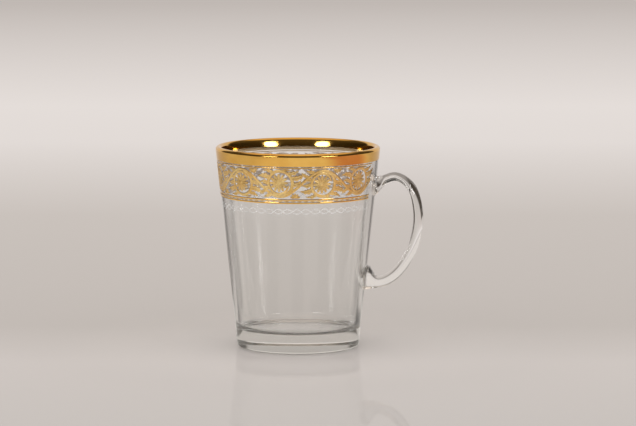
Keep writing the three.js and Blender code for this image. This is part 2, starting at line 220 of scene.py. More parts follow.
# Sockets and nodes, for finishes and for shapes that repeat
class Wire:
    """A socket that a value comes from. Arithmetic on wires adds Math nodes to their tree."""

    def __init__(self, socket):
        self.socket = socket

    @classmethod
    def add(cls, tree, kind, sockets=None, settings=None, output=0):
        """A new node: its settings are made first, then its sockets get values, wires or lists of wires."""
        node = tree.nodes.new(kind)
        for name, value in (settings or {}).items():
            setattr(node, name, value)
        for key, value in (sockets or {}).items():
            for one in value if isinstance(value, list) else [value]:
                if isinstance(one, Wire):
                    tree.links.new(one.socket, node.inputs[key])
                else:
                    node.inputs[key].default_value = one
        return cls(node.outputs[output]) if node.outputs else None

    def out(self, name):
        return Wire(self.socket.node.outputs[name])

    def node(self, *how):
        """A new node in the same tree."""
        return Wire.add(self.socket.id_data, *how)

    def maths(self, operation, other=0.0):
        return self.node("ShaderNodeMath", {0: self, 1: other}, {"operation": operation})

    def __add__(self, other):
        return self.maths("ADD", other)

    __radd__ = __add__

    def __sub__(self, other):
        return self.maths("SUBTRACT", other)

    def __rsub__(self, other):
        return self.node("ShaderNodeMath", {0: other, 1: self}, {"operation": "SUBTRACT"})

    def __mul__(self, other):
        return self.maths("MULTIPLY", other)

    __rmul__ = __mul__

    def __truediv__(self, other):
        return self.maths("DIVIDE", other)

    def __mod__(self, other):
        return self.maths("MODULO", other)

    def sin(self):
        return self.maths("SINE")

    def cos(self):
        return self.maths("COSINE")

    def ease(self, start, end, size=1.0):
        """From 0 at start to a size at end, smoothly, and flat beyond them."""
        span = {"Value": self, "From Min": start, "From Max": end, "To Max": size}
        return self.node("ShaderNodeMapRange", span, {"interpolation_type": "SMOOTHSTEP"})

    def fade(self, start, end, size=1.0):
        return self.ease(end, start, size)

    def blend(self, low, high):
        """A colour between two, low where this wire is 0 and high where it is 1."""
        low, high = (end if isinstance(end, Wire) else (*end, 1.0) for end in (low, high))
        return self.node("ShaderNodeMix", {0: self, 6: low, 7: high}, {"data_type": "RGBA"}, 2)


# Meshes
def mark_ridges(mesh, heights):
    """Keeps how high each point of a film stands: 1 on its ridges, 0 at its edges, less below."""
    ridge = mesh.attributes.new("ridge", "FLOAT", "POINT")
    ridge.data.foreach_set("value", heights)


def added(name, data):
    """A new object in the scene for a mesh, a lamp or a camera."""
    made = bpy.data.objects.new(name, data)
    bpy.context.scene.collection.objects.link(made)
    return made


def object_of(name, points, faces, finish):
    """A mesh object from points in millimetres."""
    mesh = bpy.data.meshes.new(name)
    mesh.from_pydata([tuple(MM * value for value in point) for point in points], [], faces)
    mesh.update()
    mesh.materials.append(finish)
    return added(name, mesh)


def settle(piece, sharp_degrees, slot, *nodes):
    """Smooths a piece but for its sharp edges, and gives it the place of these CAD nodes."""
    piece.data.shade_smooth()
    piece.data.set_sharp_from_angle(angle=radians(sharp_degrees))
    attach(piece, BODY)
    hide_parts(*nodes)


def arc(radius, height, round_radius, start, end, steps):
    """Points of an arc in the section, both ends included."""
    angles = [lerp(start, end, share) for share in shares(steps)]
    return [(radius + round_radius * cos(a), height + round_radius * sin(a)) for a in angles]


def spread(section, longest):
    """The same section with its long straight runs broken up."""
    points = [section[0]]
    for before, after in zip(section, section[1:]):
        count = max(1, ceil(dist(before, after) / longest))
        for share in shares(count)[1:]:
            points.append(tuple(lerp(a, b, share) for a, b in zip(before, after)))
    return points


def ripple(angle, height):
    """How far the inside of the wall waves in or out."""
    size = sum(depth * sin(waves * angle + phase) for waves, depth, phase in WALL_RIPPLES)
    low = FLOOR_THICKNESS + FLOOR_CORNER
    high = HEIGHT - RIM_BAND_INSIDE - RIPPLE_MARGIN
    room = max(0.0, min(height - low, high - height))
    return size * min(1.0, room / RIPPLE_FADE)


def turned(section, facets, wave_from=inf):
    """A section turned about the axis. From the point wave_from onwards, the wall's ripples move it."""
    points, rings, faces = [], [], []
    for number, (radius, height) in enumerate(section):
        start = len(points)
        for angle in turns(facets) if radius > POLE else [0.0]:
            out = radius + (ripple(angle, height) if number >= wave_from else 0.0)
            points.append((out * cos(angle), out * sin(angle), height))
        rings.append(range(start, len(points)))
    for low, high in zip(rings, rings[1:]):
        for facet in range(facets):
            sides = (facet, (facet + 1) % facets)
            corners = [low[side % len(low)] for side in sides]
            corners += [high[side % len(high)] for side in reversed(sides)]
            # Two corners at a pole are one
            faces.append(tuple(dict.fromkeys(corners)))
    return points, faces


def strip(rings, sides):
    """Faces between rings of points that follow each other, all with the same number of sides."""
    faces = []
    for ring in range(rings - 1):
        for side in range(sides):
            a = ring * sides + side
            b = ring * sides + (side + 1) % sides
            faces.append((a, b, b + sides, a + sides))
    return faces


def lip(out):
    """The round of the lip from outside to inside, standing off it by out."""
    return arc(
        RIM_RADIUS - LIP_ROUND, LIP_HEIGHT, LIP_ROUND + out, -WALL_LEAN, pi - FLARE_LEAN, LIP_STEPS
    )


def glass_bowl(finish):
    """The bowl: up the outside from the base's middle, then down the inside to the floor's middle."""
    corner_height = FLOOR_THICKNESS + FLOOR_CORNER
    corner_radius = inner_radius(corner_height) - FLOOR_CORNER
    top = lip(0.0)
    edge = arc(outer_radius(BASE_EDGE) - BASE_EDGE, BASE_EDGE, BASE_EDGE, -pi / 2, 0, CORNER_STEPS)
    corner = arc(corner_radius, corner_height, FLOOR_CORNER, -INNER_LEAN, -pi / 2, CORNER_STEPS)
    outside = spread([(0.0, 0.0), *edge, (HEEL_RADIUS, HEEL_HEIGHT), *top], BOWL_STEP)
    inside = spread([top[-1], *flare(FLARE_FOOT, 0.0), *corner, (0.0, FLOOR_THICKNESS)], BOWL_STEP)
    skin = turned(outside + inside[1:], BOWL_FACETS, len(outside))
    return object_of("bowl_glass", *skin, finish)


def handle_stations():
    """Points that the handle's middle line passes through, from inside the wall at its upper root."""
    upper_root = HEIGHT - UPPER_DROP
    crown = upper_root + CROWN_RISE
    lower_run = LOWER_HEIGHT - LOWER_SAG
    places = [
        (upper_root - ROOT_SINK / 2, -ROOT_SINK),
        (lerp(upper_root, crown, NECK_UP), CROWN_REACH * NECK_OUT),
        (crown, CROWN_REACH),
        *[(lerp(crown, lower_run, down), REACH * out) for down, out in BENDS],
        (lower_run, LOWER_REACH),
        (LOWER_HEIGHT, -ROOT_SINK),
    ]
    return [Vector((outer_radius(height) + reach, 0.0, height)) for height, reach in places]


def flowing_line(stations):
    """A smooth line through the stations, whose bends ease with the distance between them."""
    ends = [2 * stations[0] - stations[1], *stations, 2 * stations[-1] - stations[-2]]
    line = []
    for before, start, end, after in zip(ends, ends[1:], ends[2:], ends[3:]):
        steps = ((before, start), (start, end), (end, after))
        first, span, last = (sqrt((b - a).length) for a, b in steps)
        leave = (start - before) / first - (end - before) / (first + span) + (end - start) / span
        arrive = (end - start) / span - (after - start) / (span + last) + (after - end) / last
        for t in shares(SPAN_SAMPLES)[:-1]:
            line.append(
                start * (2 * t**3 - 3 * t**2 + 1)
                + leave * span * (t**3 - 2 * t**2 + t)
                + end * (3 * t**2 - 2 * t**3)
                + arrive * span * (t**3 - t**2)
            )
    return [*line, stations[-1]]


def evenly(line, count):
    """Points of a line at even distances along it, and its length."""
    along = [0.0]
    for before, after in zip(line, line[1:]):
        along.append(along[-1] + (after - before).length)
    points, at = [], 0
    for step in range(count + 1):
        distance = along[-1] * step / count
        while at < len(line) - 2 and along[at + 1] < distance:
            at += 1
        share = (distance - along[at]) / (along[at + 1] - along[at])
        points.append(line[at].lerp(line[at + 1], share))
    return points, along[-1]


def rooted(distance, reach):
    """The share of a root's pad that is left at a distance from the handle's end."""
    return min(1.0, max(0.0, 1 - (distance - ROOT_SINK) / reach)) ** ROOT_SWELL


def swollen(run, upper, lower, distance, length):
    """A size of the handle at a distance along it, from its sizes in the run and at the roots."""
    at_upper = (upper - run) * rooted(distance, UPPER_ROOT_FLARE)
    return run + at_upper + (lower - run) * rooted(length - distance, LOWER_ROOT_FLARE)


def handle_rings():
    """Rings of points round the handle, upright at its upper root, both ends still inside the wall."""
    line, length = evenly(flowing_line(handle_stations()), HANDLE_RINGS)
    across = Vector((0.0, 1.0, 0.0))
    upwards = Vector((0.0, 0.0, 1.0))

    def section(turn):
        """How far out and how far across a point of the strap's skin is, as shares of its sizes."""
        out, side = cos(turn), sin(turn)
        outside = out >= 0
        power = 2 / (OUTSIDE_SQUARENESS if outside else INSIDE_SQUARENESS)
        reach = OUTSIDE_SHARE if outside else 1 - OUTSIDE_SHARE
        out, side = (copysign(abs(share) ** power, share) for share in (out, side))
        return out * reach + 0.5 - OUTSIDE_SHARE, side / 2

    shape = [section(turn) for turn in turns(HANDLE_SIDES)]
    rings = []
    for number, middle in enumerate(line):
        tangent = line[min(number + 1, HANDLE_RINGS)] - line[max(number - 1, 0)]
        distance = length * number / HANDLE_RINGS
        square = tangent.normalized().cross(across)
        outwards = square.lerp(upwards, rooted(distance, UPPER_ROOT_FLARE)).normalized()
        strap = lerp(*THICKNESS, (number / HANDLE_RINGS) ** 2)
        thickness = swollen(strap, UPPER_ROOT_HEIGHT, LOWER_ROOT_HEIGHT, distance, length)
        width = swollen(HANDLE_WIDTH, ROOT_WIDTH, ROOT_WIDTH, distance, length)
        rings.append([
            middle + outwards * out * thickness - across * side * width for out, side in shape
        ])
    return rings


def off_wall(point):
    """How far a point stands clear of the gap that is left at the handle's roots."""
    return hypot(point.x, point.y) - outer_radius(point.z) - ROOT_GAP


def onto_wall(point):
    """The point moved straight out or in, to the near side of the gap."""
    scale = 1 - off_wall(point) / hypot(point.x, point.y)
    return Vector((point.x * scale, point.y * scale, point.z))


def trimmed(strand):
    """A strand of the handle's skin, cut where it leaves the wall and where it meets it again."""
    clear = [number for number, point in enumerate(strand) if off_wall(point) > 0]

    def crossing(inside, outside):
        deep, high = off_wall(strand[inside]), off_wall(strand[outside])
        return lerp(inside, outside, deep / (deep - high))

    start, end = crossing(clear[0] - 1, clear[0]), crossing(clear[-1] + 1, clear[-1])
    points = []
    for share in shares(HANDLE_ROWS):
        place = lerp(start, end, share)
        number = min(int(place), len(strand) - 2)
        points.append(strand[number].lerp(strand[number + 1], place - number))
    return points


def handle(finish):
    """The loop handle, its two pads shaped to the wall."""
    strands = [trimmed(strand) for strand in zip(*handle_rings())]
    rows = [list(row) for row in zip(*strands)]

    def middle(row):
        return sum(row, Vector()) / HANDLE_SIDES

    def root_cap(row):
        centre = middle(row)
        for ring in range(1, ROOT_CAP_RINGS):
            yield [onto_wall(point.lerp(centre, ring / ROOT_CAP_RINGS)) for point in row]

    rows = [*reversed(list(root_cap(rows[0]))), *rows, *root_cap(rows[-1])]
    points = [point for row in rows for point in row]
    faces = strip(len(rows), HANDLE_SIDES)
    last = len(points) - HANDLE_SIDES
    points += [onto_wall(middle(rows[0])), onto_wall(middle(rows[-1]))]
    for side in range(HANDLE_SIDES):
        after = (side + 1) % HANDLE_SIDES
        faces.append((len(points) - 2, after, side))
        faces.append((len(points) - 1, last + side, last + after))
    return object_of("handle_glass", points, faces, finish)


def rim_gilding(finish):
    """Gold over the lip, coming down a little way outside and inside."""
    low = HEIGHT - RIM_BAND_OUTSIDE

    def skin(out):
        return [(outer_radius(low) + out, low), *lip(out), *flare(HEIGHT - RIM_BAND_INSIDE, out)]

    face = spread(skin(FILM), BOWL_STEP)
    underside = spread(skin(FILM_LIFT)[::-1], BOWL_STEP)
    points, faces = turned([*face, *underside, face[0]], BOWL_FACETS)
    count = len(points) - BOWL_FACETS
    closed = [tuple(number % count for number in corners) for corners in faces]
    band = object_of("rim_gold", points[:count], closed, finish)
    mark_ridges(band.data, [1.0] * len(face) * BOWL_FACETS + [UNDERSIDE] * len(underside) * BOWL_FACETS)
    return band


def on_wall(angle, height, out):
    """A point off the wall's outside, by the angle from the handle, the height and the distance."""
    radius = outer_radius(height) + out * cos(WALL_LEAN)
    return (radius * cos(angle), radius * sin(angle), height - out * sin(WALL_LEAN))


def lofted(rings):
    """A closed skin over equal rings of points, with a face over each end."""
    sides = len(rings[0])
    points = [point for ring in rings for point in ring]
    ends = [tuple(reversed(range(sides))), tuple(range(len(points) - sides, len(points)))]
    return points, [ends[0], *strip(len(rings), sides), ends[1]]


def gold_line(name, middle, height, finish):
    """A fine crowned line that runs round the wall from one side of the handle to the other."""
    rings = []
    for share in shares(BAND_FACETS):
        angle = lerp(HANDLE_CLEARANCE, TURN - HANDLE_CLEARANCE, share)
        rings.append([on_wall(angle, middle + height * up, out) for up, out in LINE_SECTION])
    line = object_of(name, *lofted(rings), finish)
    heights = [1.0 if out > FILM_LIFT else UNDERSIDE for _, out in LINE_SECTION]
    mark_ridges(line.data, heights * len(rings))
    return line


# The frieze's flat parts: x runs along the wall, y up it and z out of it
RELIEF = 0.16
EDGE = 0.05
# A section across a leaf, as shares of its half width and of its relief, with a vein down its middle
LEAF_SECTION = [(0.72, 0.9), (0.12, 0.85), (0.0, 0.5), (-0.12, 0.85), (-0.72, 0.9)]
STEM_SECTION = [(0.72, 0.85), (0.0, 1.0), (-0.72, 0.85)]
STEM_SWING = 6.2
STEM_WIDTH = 1.4
RING_MIDDLE = Vector((0.0, 0.35))
RING_START = radians(-75)
RING_SWEEP = radians(335)
RING_RADII = (6.25, 5.45)
RING_WIDTHS = (1.65, 1.4)
STALK_SWEEP = radians(80)
STALK_RADIUS = 4.3
STALK_WIDTH = 0.9
FLOWER_MIDDLE = Vector((-0.5, 0.4))
FLOWER_PETALS = 12
PETAL_REACH = (0.9, 4.35)
PETAL_WIDTH = 1.85
PETAL_STEPS = 11
PETAL_SPAN = (0.14, 0.93)
PETAL_FULLNESS = 0.6
PETAL_TAPER = (0.45, 1.0)
PETAL_THINNEST = 0.15
BOSS_RADIUS = 1.25
BOSS_HEIGHT = RELIEF * 1.15
BOSS_SIDES = 16
# The round of a button, as shares of its radius and of its height
BOSS_ROUND = [(0.8, 0.6), (0.45, 0.93)]
SCROLL_STEPS = 40
# Leaves: foot, bend and tip, then the width at the fullest part and the lobes on each edge
LEAVES = [
    ((5.2, 2.9), (9.2, 1.9), (12.4, 5.4), 3.0, 4),
    ((3.8, 5.0), (7.2, 4.7), (9.4, 6.7), 2.3, 3),
    ((5.9, -0.4), (8.6, -1.0), (10.2, 2.0), 2.4, 3),
    ((-3.4, 5.1), (-4.8, 7.0), (-8.6, 6.3), 2.0, 3),
    ((-5.0, 2.6), (-7.6, 4.8), (-11.4, 3.4), 2.9, 4),
    ((-5.6, -0.2), (-7.8, 1.9), (-10.4, 0.4), 2.4, 3),
    ((-5.3, -2.6), (-7.2, -1.0), (-8.8, -2.2), 1.9, 2),
    ((-4.2, -5.2), (-6.2, -5.6), (-8.6, -6.5), 2.1, 3),
    ((-7.0, -3.4), (-9.0, -3.4), (-10.6, -5.6), 1.9, 3),
    ((5.6, -3.2), (7.2, -3.0), (8.2, -1.6), 1.5, 2),
    ((1.2, 6.4), (3.4, 7.0), (5.8, 6.4), 1.1, 2),
]
LEAF_STEPS = 22
LEAF_SPAN = (0.12, 1.0)
LEAF_FULLNESS = 0.8
LEAF_THINNEST = 0.12
LOBE_DEPTH = 0.34
LOBE_SHARPNESS = 3
ROSETTE_REACH = (0.4, 2.45)
ROSETTE_PETALS = 5
ROSETTE_PETAL_WIDTH = 1.35
ROSETTE_BOSS = 0.75
ROSETTE_BOSS_HEIGHT = RELIEF * 1.1
BEAD_LENGTH = 2.85
BEAD_STEPS = 10
BEAD_FULLNESS = 0.7
BEAD_THINNEST = 0.1


def ribbon(path, section):
    """A raised ribbon along a flat path of points and widths, its section drawn out to each width."""
    line, widths = zip(*path)
    face = [(1.0, EDGE), *[(side, RELIEF * up) for side, up in section], (-1.0, EDGE)]
    skin = [(1.0, FILM_LIFT), *face, (-1.0, FILM_LIFT)]
    rings = []
    for number, point in enumerate(line):
        before, after = line[max(0, number - 1)], line[min(len(line) - 1, number + 1)]
        tangent = (after - before).normalized()
        across = Vector((-tangent.y, tangent.x)) * widths[number] / 2
        rings.append([(*(point + across * side), out) for side, out in skin])
    return lofted(rings)


def polar(middle, angle, radius):
    return middle + Vector((cos(angle), sin(angle))) * radius


def leaf(foot, bend, tip, width, lobes):
    """A lobed leaf on a bent rib, from its foot to its pointed tip."""
    foot, bend, tip = Vector(foot), Vector(bend), Vector(tip)
    path = []
    for share in shares(LEAF_STEPS):
        point = foot.lerp(bend, share).lerp(bend.lerp(tip, share), share)
        body = sin(pi * lerp(*LEAF_SPAN, share) ** LEAF_FULLNESS)
        lobe = 1 - LOBE_DEPTH * abs(cos(pi * lobes * share)) ** LOBE_SHARPNESS
        path.append((point, max(LEAF_THINNEST, width * body * lobe)))
    return ribbon(path, LEAF_SECTION)


def boss(middle, radius, height):
    """A low round button."""
    rings = [(1.0, FILM_LIFT), (1.0, EDGE), *[(share, up * height) for share, up in BOSS_ROUND]]
    points = []
    for share, out in rings:
        points += [(*polar(middle, angle, radius * share), out) for angle in turns(BOSS_SIDES)]
    faces = [tuple(reversed(range(BOSS_SIDES))), *strip(len(rings), BOSS_SIDES)]
    points.append((*middle, height))
    last = (len(rings) - 1) * BOSS_SIDES
    for side in range(BOSS_SIDES):
        faces.append((last + side, last + (side + 1) % BOSS_SIDES, len(points) - 1))
    return points, faces


def petal(middle, angle, reach, width):
    """One petal of a flower, from near its middle outwards."""
    path = []
    for share in shares(PETAL_STEPS):
        body = sin(pi * lerp(*PETAL_SPAN, share)) ** PETAL_FULLNESS
        full = max(PETAL_THINNEST, width * body * lerp(*PETAL_TAPER, share))
        path.append((polar(middle, angle, lerp(*reach, share)), full))
    return ribbon(path, LEAF_SECTION)


def flat_scroll():
    """One scroll laid flat: a wave of stem along the bottom, a ring that leaves it, a flower, leaves."""
    stem, ring, stalk = [], [], []
    for share in shares(SCROLL_STEPS):
        x = SCROLL_LENGTH * (share - 0.5)
        stem.append((Vector((x, -STEM_SWING * cos(pi * x / SCROLL_LENGTH))), STEM_WIDTH))
        point = polar(RING_MIDDLE, RING_START + RING_SWEEP * share, lerp(*RING_RADII, share))
        ring.append((point, lerp(*RING_WIDTHS, share)))
        turn = RING_START + RING_SWEEP + STALK_SWEEP * share
        point = polar(RING_MIDDLE, turn, lerp(RING_RADII[1], STALK_RADIUS, share))
        stalk.append((point, lerp(RING_WIDTHS[1], STALK_WIDTH, share)))
    return [
        *[ribbon(path, STEM_SECTION) for path in (stem, ring, stalk)],
        boss(FLOWER_MIDDLE, BOSS_RADIUS, BOSS_HEIGHT),
        *[petal(FLOWER_MIDDLE, turn, PETAL_REACH, PETAL_WIDTH) for turn in turns(FLOWER_PETALS)],
        *[leaf(*one) for one in LEAVES],
    ]


def flat_rosette():
    """Half a flower laid flat, standing on the bottom of the field."""
    foot = Vector((0.0, -FIELD_HEIGHT / 2))
    angles = [pi * (number + 0.5) / ROSETTE_PETALS for number in range(ROSETTE_PETALS)]
    heart = foot + Vector((0.0, ROSETTE_BOSS))
    return [
        *[petal(foot, angle, ROSETTE_REACH, ROSETTE_PETAL_WIDTH) for angle in angles],
        boss(heart, ROSETTE_BOSS, ROSETTE_BOSS_HEIGHT),
    ]


def flat_bead():
    """One long bead of the chain laid flat, pointed at both ends."""
    path = []
    for share in shares(BEAD_STEPS):
        full = max(BEAD_THINNEST, CHAIN_BEAD * sin(pi * share) ** BEAD_FULLNESS)
        path.append((Vector((BEAD_LENGTH * (share - 0.5), 0.0)), full))
    return [ribbon(path, STEM_SECTION)]


def joined(parts):
    """Several shapes as one list of points and one of faces."""
    points, faces = [], []
    for part_points, part_faces in parts:
        start = len(points)
        points += part_points
        faces += [tuple(start + number for number in face) for face in part_faces]
    return points, faces


# Shapes that repeat round the wall
class Recipe:
    """A tree of Geometry Nodes with named inputs, and the wires that come from them."""

    def __init__(self, name, counts, sizes):
        self.tree = bpy.data.node_groups.new(name, "GeometryNodeTree")
        face = self.tree.interface
        kinds = {"Geometry": "Geometry", "Finish": "Material"}
        kinds |= dict.fromkeys(counts, "Int") | dict.fromkeys(sizes, "Float")
        self.keys = {}
        for label, kind in kinds.items():
            socket = face.new_socket(label, in_out="INPUT", socket_type=f"NodeSocket{kind}")
            self.keys[label] = socket.identifier
        face.new_socket("Geometry", in_out="OUTPUT", socket_type="NodeSocketGeometry")
        self.given = Wire.add(self.tree, "NodeGroupInput")

    def node(self, *how):
        return Wire.add(self.tree, *how)

    def __getitem__(self, label):
        return self.given.out(label)

    def place(self):
        """Where each point is, by axis."""
        return self.node("ShaderNodeSeparateXYZ", {0: self.node("GeometryNodeInputPosition")})

    def rotation(self, angle):
        """A turn about the mug's axis."""
        turn = self.node("ShaderNodeCombineXYZ", {"Z": angle})
        return self.node("FunctionNodeEulerToRotation", {0: turn})

    def finish(self, shape):
        """Ends the tree: its instances become real and get their finish."""
        real = self.node("GeometryNodeRealizeInstances", {0: shape})
        dressing = {"Geometry": real, "Material": self["Finish"]}
        self.node("NodeGroupOutput", {0: self.node("GeometryNodeSetMaterial", dressing)})

    def make(self, name, parts, values):
        """Runs the tree on flat parts, and returns the result as a plain mesh object."""
        points, faces = joined(parts)
        mesh = bpy.data.meshes.new(f"{name}_flat")
        mesh.from_pydata(points, [], faces)
        ridges = [(out - EDGE) / (RELIEF - EDGE) if out > FILM_LIFT else UNDERSIDE for *_, out in points]
        mark_ridges(mesh, ridges)
        source = added(f"{name}_flat", mesh)
        modifier = source.modifiers.new("recipe", "NODES")
        modifier.node_group = self.tree
        for label, value in values.items():
            modifier[self.keys[label]] = value
        graph = bpy.context.evaluated_depsgraph_get()
        result = bpy.data.meshes.new_from_object(source.evaluated_get(graph))
        bpy.data.objects.remove(source)
        bpy.data.meshes.remove(mesh)
        result.name = name
        return added(name, result)


def bent_to_wall(recipe, along, up, out):
    """A place on the wall, in metres, from wires for the angle, the height and the distance off it."""
    height = recipe["Middle Height"] + up
    radius = HEEL_RADIUS + (height - HEEL_HEIGHT) * WALL_SLOPE + out * cos(WALL_LEAN)
    level = height - out * sin(WALL_LEAN)
    sockets = {"X": radius * along.cos() * MM, "Y": radius * along.sin() * MM, "Z": level * MM}
    return recipe.node("ShaderNodeCombineXYZ", sockets)


def row_round_wall():
    """Repeats a flat shape round the wall, every second one upside down where that is asked."""
    sizes = ["First Angle", "Step Angle", "Middle Height", "Bend Radius", "Turn Every Second"]
    recipe = Recipe("row round the wall", ["Count"], sizes)
    place = recipe.place()
    along = place.out("X") / recipe["Bend Radius"]
    number = recipe.node("GeometryNodeInputIndex")
    over = recipe["Turn Every Second"] * (1.0 - number % 2.0)
    layout = {
        "Points": recipe.node("GeometryNodePoints", {"Count": recipe["Count"]}),
        "Rotation": recipe.rotation(recipe["First Angle"] + recipe["Step Angle"] * number),
    }

    def row(side, chosen):
        where = bent_to_wall(recipe, along, place.out("Y") * side, place.out("Z"))
        moved = {"Geometry": recipe["Geometry"], "Position": where}
        shape = recipe.node("GeometryNodeSetPosition", moved)
        if side < 0:
            shape = recipe.node("GeometryNodeFlipFaces", {"Mesh": shape})
        picked = layout | {"Selection": chosen, "Instance": shape}
        return recipe.node("GeometryNodeInstanceOnPoints", picked)

    rows = [row(-1.0, over), row(1.0, 1.0 - over)]
    recipe.finish(recipe.node("GeometryNodeJoinGeometry", {0: rows}))
    return recipe


def waves_round_wall():
    """Two fine waves round the wall, one an eye ahead of the other, so that they make eyes."""
    sizes = ["First Angle", "Eye Angle", "Middle Height", "Wave Height", "Line Width", "Film", "Lift"]
    recipe = Recipe("waves round the wall", ["Eyes", "Steps"], sizes)
    band = recipe.node("GeometryNodeMeshGrid", {
        "Size X": 1.0, "Size Y": 1.0, "Vertices X": recipe["Steps"], "Vertices Y": 3,
    })
    place = recipe.place()
    eye = (place.out("X") + 0.5) * (recipe["Eyes"] - 1.0)
    wave = (eye * pi).sin() * (recipe["Wave Height"] - recipe["Line Width"]) * 0.5
    up = wave + place.out("Y") * recipe["Line Width"]
    angle = recipe["First Angle"] + eye * recipe["Eye Angle"]
    where = bent_to_wall(recipe, angle, up, recipe["Lift"])
    laid = recipe.node("GeometryNodeSetPosition", {"Geometry": band, "Position": where})
    raised = recipe.node("GeometryNodeExtrudeMesh", {
        "Mesh": laid, "Offset Scale": (recipe["Film"] - recipe["Lift"]) * MM, "Individual": False,
    })
    back = recipe.node("GeometryNodeFlipFaces", {"Mesh": laid})
    both = recipe.node("GeometryNodeJoinGeometry", {0: [raised, back]})
    welded = {"Geometry": both, "Distance": ETCHED_WELD * MM}
    number = recipe.node("GeometryNodeInputIndex")
    recipe.finish(recipe.node("GeometryNodeInstanceOnPoints", {
        "Points": recipe.node("GeometryNodePoints", {"Count": 2}),
        "Instance": recipe.node("GeometryNodeMergeByDistance", welded),
        "Rotation": recipe.rotation(recipe["Eye Angle"] * number),
    }))
    return recipe


# Finishes
def tone(*levels):
    """The light of a colour that a screen shows at these levels, 11 to 255, by the sRGB curve."""
    return tuple(((level / 255 + 0.055) / 1.055) ** 2.4 for level in levels)


def new_finish(name):
    """A material with an empty tree."""
    finish = bpy.data.materials.new(name)
    finish.use_nodes = True
    finish.node_tree.nodes.clear()
    return finish, finish.node_tree


def coated(finish, sockets, **more):
    """The finish with one coat of these looks, and with what else its output takes."""
    coat = Wire.add(finish.node_tree, "ShaderNodeBsdfPrincipled", sockets)
    coat.node("ShaderNodeOutputMaterial", {"Surface": coat, **more})
    return finish


def own_place(tree):
    """The piece's own coordinates, in metres."""
    return Wire.add(tree, "ShaderNodeTexCoord").out("Object")


def noise(tree, scale, detail, roughness=0.55):
    place = Wire.add(tree, "ShaderNodeMapping", {"Vector": own_place(tree), "Scale": scale})
    sockets = {"Vector": place, "Scale": 1.0, "Detail": detail, "Roughness": roughness}
    return place.node("ShaderNodeTexNoise", sockets)


def bumped(height, strength, distance):
    return height.node("ShaderNodeBump", {"Strength": strength, "Distance": distance, "Height": height})


# A noise: waves per metre along each axis, detail and, if need be, roughness
# A bump: strength, and depth in metres. An ease: start, end and, if it isn't 1, size
GLASS_STREAKS = ((70.0, 70.0, 9.0), 2.0)
GLASS_BUMP = (0.04, 0.0006)
GLASS_CLOUDS = ((25.0, 25.0, 25.0), 2.0)
GLASS_TINTS = [(0.992, 0.996, 0.989), (1.0, 1.0, 0.998)]
GLASS_SMEARS = ((160.0, 160.0, 60.0), 4.0)
GLASS_SMEARED = (0.55, 0.85, 0.025)
GLASS_IOR = 1.51
GLASS_DEPTH = {"Color": (0.72, 0.78, 0.7, 1.0), "Density": 3.0}


def clear_glass():
    """Clear glass with faint streaks and smears, slightly green where it is thick."""
    finish, tree = new_finish("clear_glass")
    streaks = noise(tree, *GLASS_STREAKS)
    return coated(finish, {
        "Base Color": noise(tree, *GLASS_CLOUDS).blend(*GLASS_TINTS),
        "Roughness": noise(tree, *GLASS_SMEARS).ease(*GLASS_SMEARED),
        "IOR": GLASS_IOR,
        "Transmission Weight": 1.0,
        "Normal": bumped(streaks, *GLASS_BUMP),
    }, Volume=streaks.node("ShaderNodeVolumeAbsorption", GLASS_DEPTH))


FACE_SPAN = (UNDERSIDE * 0.75, UNDERSIDE * 0.25)
UNDERSIDE_ROUGHNESS = 0.6


def ridge_of(tree):
    return Wire.add(tree, "ShaderNodeAttribute", None, {"attribute_name": "ridge"}).out("Fac")


def film_face(tree):
    """1 on the face of a film, 0 on its underside, which shows through the glass."""
    return ridge_of(tree).ease(*FACE_SPAN)


GOLD_CLOUDS = ((90.0, 90.0, 140.0), 3.0)
GOLD_CLOUDED = (0.3, 0.75)
GOLD_TINTS = [(0.8, 0.45, 0.1), (0.88, 0.535, 0.135)]
GOLD_BRUSHING = ((40.0, 40.0, 2200.0), 2.0)
GOLD_BUMP = (0.06, 0.0001)
GOLD_WEAR = ((320.0, 320.0, 320.0), 5.0, 0.65)
GOLD_RUBBED = (0.62, 0.8)
GOLD_RUBBED_TINT = (0.92, 0.65, 0.25)
GOLD_DULLED = (0.45, 0.8, 0.1)
GOLD_POLISH = 0.53
GOLD_UNDERSIDE = (0.95, 0.71, 0.44)


def bright_gold():
    """Polished gold, a little rubbed. Its underside is matt and brown."""
    finish, tree = new_finish("bright_gold")
    worn = noise(tree, *GOLD_WEAR)
    colour = noise(tree, *GOLD_CLOUDS).ease(*GOLD_CLOUDED).blend(*GOLD_TINTS)
    rubbed = worn.ease(*GOLD_RUBBED).blend(colour, GOLD_RUBBED_TINT)
    face = film_face(tree)
    return coated(finish, {
        "Base Color": face.blend(GOLD_UNDERSIDE, rubbed),
        "Metallic": face,
        "Roughness": UNDERSIDE_ROUGHNESS - face * GOLD_POLISH + worn.ease(*GOLD_DULLED),
        "Normal": bumped(noise(tree, *GOLD_BRUSHING), *GOLD_BUMP),
    })


SATIN_CLOUDS = ((150.0, 150.0, 150.0), 3.0)
SATIN_CLOUDED = (0.3, 0.7)
SATIN_TINTS = [(0.91, 0.57, 0.17), (0.98, 0.72, 0.3)]
SATIN_EDGED = (0.1, 0.8)
SATIN_EDGE_TINT = (0.42, 0.2, 0.05)
SATIN_DOTS = 1500.0
SATIN_DOTTED = (0.42, 0.7, 0.36)
SATIN_DOT_TINT = (0.45, 0.23, 0.07)
SATIN_GRAIN = ((2600.0, 2600.0, 2600.0), 4.0, 0.7)
# Painted glints: pale flecks where the grain is high
SATIN_GLINT_SPAN = (0.5, 0.75)
SATIN_GLINT_TINT = (0.98, 0.85, 0.58)
SATIN_BUMP = (0.5, 0.00006)
SATIN_DULLED = (0.35, 0.75, 0.2)
SATIN_POLISH = 0.3
SATIN_UNDERSIDE = (0.94, 0.77, 0.66)


